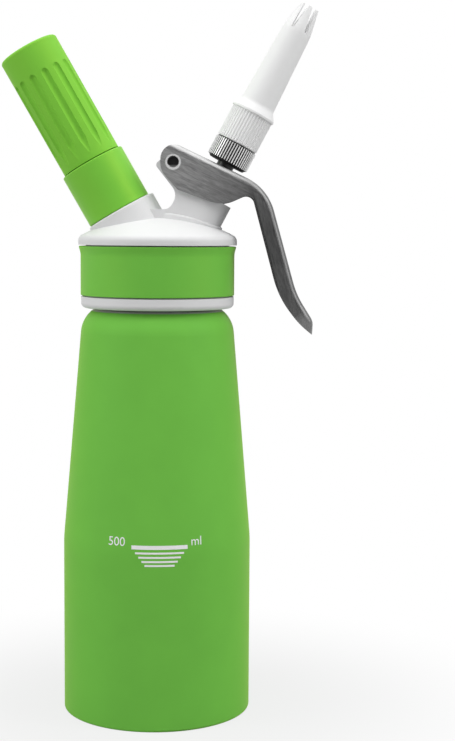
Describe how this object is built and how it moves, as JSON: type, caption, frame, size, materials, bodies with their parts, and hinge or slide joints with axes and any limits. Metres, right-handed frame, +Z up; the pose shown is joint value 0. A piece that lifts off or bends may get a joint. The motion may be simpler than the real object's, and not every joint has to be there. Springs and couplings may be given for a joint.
{
  "type": "cream whipper",
  "caption": "Hand-held cream whipper: green bottle, white screw-on head with a grip band, gas charger holder on one arm, and a lever valve with a decorator tip on the other.",
  "frame": {"origin": "centre of the bottle's foot, on the surface it stands on", "axes": "+Z up along the bottle, +X towards the lever and the decorator tip, -X towards the charger holder"},
  "size_m": [0.1429, 0.0864, 0.3247],
  "materials": {
    "green_coat": "satin lime green coating",
    "green_silicone": "matt lime green silicone",
    "green_plastic": "satin lime green plastic",
    "white_plastic": "smooth white plastic",
    "brushed_sheet": "brushed along the lever",
    "bright_metal": "polished",
    "black_stem": "black",
    "black_rubber": "black rubber",
    "spring_steel": "drawn wire",
    "charger_steel": "zinc-plated steel"
  },
  "bodies": {
    "bottle": {"bottle": "green_coat"},
    "head_lift": {"head_gasket": "black_rubber"},
    "head": {"head_body": "white_plastic", "grip_band": "green_silicone", "charger_nipple": "bright_metal", "piercing_pin": "bright_metal", "charger_seal": "black_rubber", "check_valve": "black_rubber", "lever_pin": "bright_metal", "pin_clip": "bright_metal", "valve_spring": "spring_steel"},
    "charger": {"gas_charger": "charger_steel"},
    "holder": {"charger_holder": "green_plastic", "holder_grip": "green_silicone"},
    "lever": {"lever": "brushed_sheet"},
    "valve": {"valve_stem": "black_stem", "stem_seal": "black_rubber", "stem_o_rings": "black_rubber", "spring_cup": "bright_metal", "tip_adapter": "bright_metal"},
    "tip": {"decorator_tip": "white_plastic"}
  },
  "joints": [
    {"name": "head_rise", "type": "slide", "parent": "bottle", "child": "head_lift", "axis": [0, 0, 1], "range_m": [0, 0.01]},
    {"name": "head_turn", "type": "hinge", "parent": "head_lift", "child": "head", "pos_m": [0, 0, 0.209], "axis": [0, 0, 1], "range_deg": [0, 900]},
    {"name": "holder_rise", "type": "slide", "parent": "head", "child": "charger", "axis": [-0.497, 0, 0.8678], "range_m": [0, 0.01]},
    {"name": "holder_turn", "type": "hinge", "parent": "charger", "child": "holder", "pos_m": [-0.01748, 0, 0.23073], "axis": [-0.497, 0, 0.8678], "range_deg": [0, 1800]},
    {"name": "lever_press", "type": "hinge", "parent": "head", "child": "lever", "pos_m": [0.00745, 0, 0.25238], "axis": [0, 1, 0], "range_deg": [0, 12], "stiffness_Nm_per_rad": 2.4, "springref_deg": -9.74},
    {"name": "valve_travel", "type": "slide", "parent": "head", "child": "valve", "axis": [-0.4679, 0, -0.8838], "range_m": [0, 0.0044], "deforming": ["valve_spring"]},
    {"name": "tip_turn", "type": "hinge", "parent": "valve", "child": "tip", "pos_m": [0.036, 0, 0.26131], "axis": [0.4679, 0, 0.8838], "range_deg": [0, 1080]}
  ],
  "couplings": [
    {"joint": "head_turn", "follows": "head_rise", "rad_per_m": 1570.8},
    {"joint": "holder_turn", "follows": "holder_rise", "rad_per_m": 3141.6},
    {"joint": "lever_press", "follows": "valve_travel", "rad_per_m": 47.506}
  ]
}
